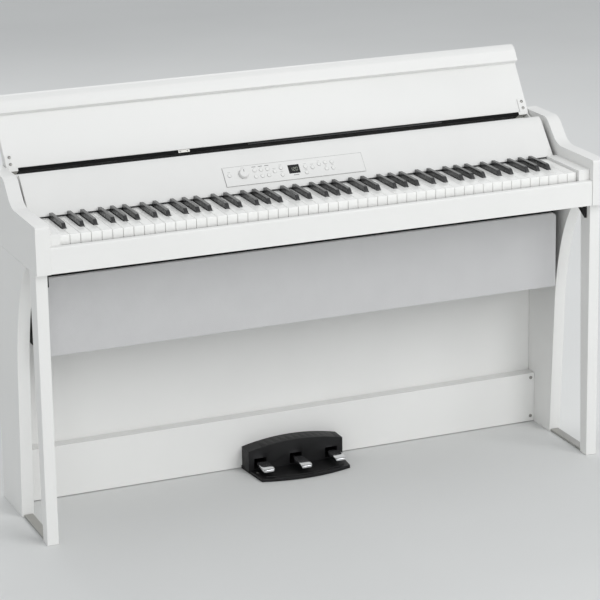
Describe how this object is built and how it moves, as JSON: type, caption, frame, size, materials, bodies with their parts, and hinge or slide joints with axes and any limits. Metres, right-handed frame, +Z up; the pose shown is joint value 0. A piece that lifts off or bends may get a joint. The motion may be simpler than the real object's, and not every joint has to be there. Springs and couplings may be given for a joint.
{
  "type": "digital piano on stand",
  "caption": "Slim digital piano on a panel stand, with a folding key cover, weighted keys, control panel, loudspeakers under the keyboard and a row of pedals.",
  "frame": {"origin": "on the floor, under the middle of the whole object with the key cover open", "axes": "+X to the player's right along the keyboard, +Y from the player to the wall, +Z up"},
  "size_m": [1.346, 0.4244, 0.912],
  "materials": {
    "white_laminate": "satin white laminate on chipboard",
    "white_moulding": "fine-grained white moulding",
    "key_white": "glossy white key top",
    "key_black": "satin black key",
    "black_plastic": "fine-textured black moulding",
    "grey_steel": "satin grey coated steel",
    "chrome": "polished plating",
    "grey_cloth": "light grey woven speaker cloth",
    "circuit_board": "green solder mask",
    "display_window": "smoked window"
  },
  "bodies": {
    "case": {"connector_panel": "black_plastic", "control_panel": "white_moulding", "control_plate": "white_moulding", "display_window": "display_window", "key_bed": "white_laminate", "key_frame": "grey_steel", "key_slip": "white_laminate", "left_corner_bracket": "black_plastic", "left_end_cheek": "white_laminate", "left_floor_bar": "grey_steel", "left_front_leg": "white_laminate", "left_key_block": "white_laminate", "left_side_board": "white_laminate", "left_speaker": "black_plastic", "lower_board": "white_laminate", "main_board": "circuit_board", "pedal_housing": "black_plastic", "right_corner_bracket": "black_plastic", "right_end_cheek": "white_laminate", "right_floor_bar": "grey_steel", "right_front_leg": "white_laminate", "right_key_block": "white_laminate", "right_side_board": "white_laminate", "right_speaker": "black_plastic", "speaker_box": "black_plastic", "speaker_grille": "grey_cloth", "stand_back_panel": "white_laminate", "unit_back_panel": "white_laminate"},
    "lid": {"lid_panel": "white_laminate", "lid_rail": "black_plastic", "left_lid_arm": "grey_steel", "right_lid_arm": "grey_steel"},
    "power_button": {"power_button": "white_moulding"},
    "tone_keypad": {"tone_keypad": "white_moulding"},
    "function_button": {"function_button": "white_moulding"},
    "record_keypad": {"record_keypad": "white_moulding"},
    "playback_keypad": {"playback_keypad": "white_moulding"},
    "select_button": {"select_button": "white_moulding"},
    "enter_button": {"enter_button": "white_moulding"},
    "cursor_keypad": {"cursor_keypad": "white_moulding"},
    "volume_knob": {"volume_knob": "white_moulding"},
    "soft_pedal": {"soft_pedal": "chrome"},
    "sostenuto_pedal": {"sostenuto_pedal": "chrome"},
    "damper_pedal": {"damper_pedal": "chrome"},
    "bass_black_keys": {"bass_black_keys": "key_black"},
    "bass_white_keys": {"bass_white_keys": "key_white"},
    "key_a4": {"key_a4": "key_white"},
    "key_a_sharp4": {"key_a_sharp4": "key_black"},
    "key_b4": {"key_b4": "key_white"},
    "key_c4": {"key_c4": "key_white"},
    "key_c_sharp4": {"key_c_sharp4": "key_black"},
    "key_d4": {"key_d4": "key_white"},
    "key_d_sharp4": {"key_d_sharp4": "key_black"},
    "key_e4": {"key_e4": "key_white"},
    "key_f4": {"key_f4": "key_white"},
    "key_f_sharp4": {"key_f_sharp4": "key_black"},
    "key_g4": {"key_g4": "key_white"},
    "key_g_sharp4": {"key_g_sharp4": "key_black"},
    "treble_black_keys": {"treble_black_keys": "key_black"},
    "treble_white_keys": {"treble_white_keys": "key_white"}
  },
  "joints": [
    {"name": "lid_hinge", "type": "hinge", "parent": "case", "child": "lid", "pos_m": [0, 0.03965, 0.73037], "axis": [1, 0, 0], "range_deg": [0, 137]},
    {"name": "power_button_press", "type": "slide", "parent": "case", "child": "power_button", "axis": [0, 0.7604, -0.6494], "range_m": [0, 0.0008], "stiffness_N_per_m": 500},
    {"name": "tone_keypad_press", "type": "slide", "parent": "case", "child": "tone_keypad", "axis": [0, 0.7604, -0.6494], "range_m": [0, 0.0008], "stiffness_N_per_m": 500},
    {"name": "function_button_press", "type": "slide", "parent": "case", "child": "function_button", "axis": [0, 0.7604, -0.6494], "range_m": [0, 0.0008], "stiffness_N_per_m": 500},
    {"name": "record_keypad_press", "type": "slide", "parent": "case", "child": "record_keypad", "axis": [0, 0.7604, -0.6494], "range_m": [0, 0.0008], "stiffness_N_per_m": 500},
    {"name": "playback_keypad_press", "type": "slide", "parent": "case", "child": "playback_keypad", "axis": [0, 0.7604, -0.6494], "range_m": [0, 0.0008], "stiffness_N_per_m": 500},
    {"name": "select_button_press", "type": "slide", "parent": "case", "child": "select_button", "axis": [0, 0.7604, -0.6494], "range_m": [0, 0.0008], "stiffness_N_per_m": 500},
    {"name": "enter_button_press", "type": "slide", "parent": "case", "child": "enter_button", "axis": [0, 0.7604, -0.6494], "range_m": [0, 0.0008], "stiffness_N_per_m": 500},
    {"name": "cursor_keypad_press", "type": "slide", "parent": "case", "child": "cursor_keypad", "axis": [0, 0.7604, -0.6494], "range_m": [0, 0.0008], "stiffness_N_per_m": 500},
    {"name": "volume_turn", "type": "hinge", "parent": "case", "child": "volume_knob", "pos_m": [-0.1296, -0.00978, 0.72291], "axis": [0, -0.7604, 0.6494], "range_deg": [-150, 150]},
    {"name": "soft_pedal_press", "type": "hinge", "parent": "case", "child": "soft_pedal", "pos_m": [-0.089, 0.05375, 0.027], "axis": [1, 0, 0], "range_deg": [0, 6], "stiffness_Nm_per_rad": 6, "springref_deg": -5.73},
    {"name": "sostenuto_pedal_press", "type": "hinge", "parent": "case", "child": "sostenuto_pedal", "pos_m": [0, 0.05375, 0.027], "axis": [1, 0, 0], "range_deg": [0, 6], "stiffness_Nm_per_rad": 6, "springref_deg": -5.73},
    {"name": "damper_pedal_press", "type": "hinge", "parent": "case", "child": "damper_pedal", "pos_m": [0.089, 0.05375, 0.027], "axis": [1, 0, 0], "range_deg": [0, 6], "stiffness_Nm_per_rad": 6, "springref_deg": -5.73},
    {"name": "bass_black_keys_press", "type": "hinge", "parent": "case", "child": "bass_black_keys", "pos_m": [0, 0.02575, 0.6647], "axis": [1, 0, 0], "range_deg": [0, 3.2], "stiffness_Nm_per_rad": 12.8, "springref_deg": -8.59},
    {"name": "bass_white_keys_press", "type": "hinge", "parent": "case", "child": "bass_white_keys", "pos_m": [0, 0.02575, 0.6647], "axis": [1, 0, 0], "range_deg": [0, 2.6], "stiffness_Nm_per_rad": 34.5, "springref_deg": -11.46},
    {"name": "key_a4_press", "type": "hinge", "parent": "case", "child": "key_a4", "pos_m": [0, 0.02575, 0.6647], "axis": [1, 0, 0], "range_deg": [0, 2.6], "stiffness_Nm_per_rad": 1.5, "springref_deg": -11.46},
    {"name": "key_a_sharp4_press", "type": "hinge", "parent": "case", "child": "key_a_sharp4", "pos_m": [0, 0.02575, 0.6647], "axis": [1, 0, 0], "range_deg": [0, 3.2], "stiffness_Nm_per_rad": 0.8, "springref_deg": -8.59},
    {"name": "key_b4_press", "type": "hinge", "parent": "case", "child": "key_b4", "pos_m": [0, 0.02575, 0.6647], "axis": [1, 0, 0], "range_deg": [0, 2.6], "stiffness_Nm_per_rad": 1.5, "springref_deg": -11.46},
    {"name": "key_c4_press", "type": "hinge", "parent": "case", "child": "key_c4", "pos_m": [0, 0.02575, 0.6647], "axis": [1, 0, 0], "range_deg": [0, 2.6], "stiffness_Nm_per_rad": 1.5, "springref_deg": -11.46},
    {"name": "key_c_sharp4_press", "type": "hinge", "parent": "case", "child": "key_c_sharp4", "pos_m": [0, 0.02575, 0.6647], "axis": [1, 0, 0], "range_deg": [0, 3.2], "stiffness_Nm_per_rad": 0.8, "springref_deg": -8.59},
    {"name": "key_d4_press", "type": "hinge", "parent": "case", "child": "key_d4", "pos_m": [0, 0.02575, 0.6647], "axis": [1, 0, 0], "range_deg": [0, 2.6], "stiffness_Nm_per_rad": 1.5, "springref_deg": -11.46},
    {"name": "key_d_sharp4_press", "type": "hinge", "parent": "case", "child": "key_d_sharp4", "pos_m": [0, 0.02575, 0.6647], "axis": [1, 0, 0], "range_deg": [0, 3.2], "stiffness_Nm_per_rad": 0.8, "springref_deg": -8.59},
    {"name": "key_e4_press", "type": "hinge", "parent": "case", "child": "key_e4", "pos_m": [0, 0.02575, 0.6647], "axis": [1, 0, 0], "range_deg": [0, 2.6], "stiffness_Nm_per_rad": 1.5, "springref_deg": -11.46},
    {"name": "key_f4_press", "type": "hinge", "parent": "case", "child": "key_f4", "pos_m": [0, 0.02575, 0.6647], "axis": [1, 0, 0], "range_deg": [0, 2.6], "stiffness_Nm_per_rad": 1.5, "springref_deg": -11.46},
    {"name": "key_f_sharp4_press", "type": "hinge", "parent": "case", "child": "key_f_sharp4", "pos_m": [0, 0.02575, 0.6647], "axis": [1, 0, 0], "range_deg": [0, 3.2], "stiffness_Nm_per_rad": 0.8, "springref_deg": -8.59},
    {"name": "key_g4_press", "type": "hinge", "parent": "case", "child": "key_g4", "pos_m": [0, 0.02575, 0.6647], "axis": [1, 0, 0], "range_deg": [0, 2.6], "stiffness_Nm_per_rad": 1.5, "springref_deg": -11.46},
    {"name": "key_g_sharp4_press", "type": "hinge", "parent": "case", "child": "key_g_sharp4", "pos_m": [0, 0.02575, 0.6647], "axis": [1, 0, 0], "range_deg": [0, 3.2], "stiffness_Nm_per_rad": 0.8, "springref_deg": -8.59},
    {"name": "treble_black_keys_press", "type": "hinge", "parent": "case", "child": "treble_black_keys", "pos_m": [0, 0.02575, 0.6647], "axis": [1, 0, 0], "range_deg": [0, 3.2], "stiffness_Nm_per_rad": 12.8, "springref_deg": -8.59},
    {"name": "treble_white_keys_press", "type": "hinge", "parent": "case", "child": "treble_white_keys", "pos_m": [0, 0.02575, 0.6647], "axis": [1, 0, 0], "range_deg": [0, 2.6], "stiffness_Nm_per_rad": 34.5, "springref_deg": -11.46}
  ]
}
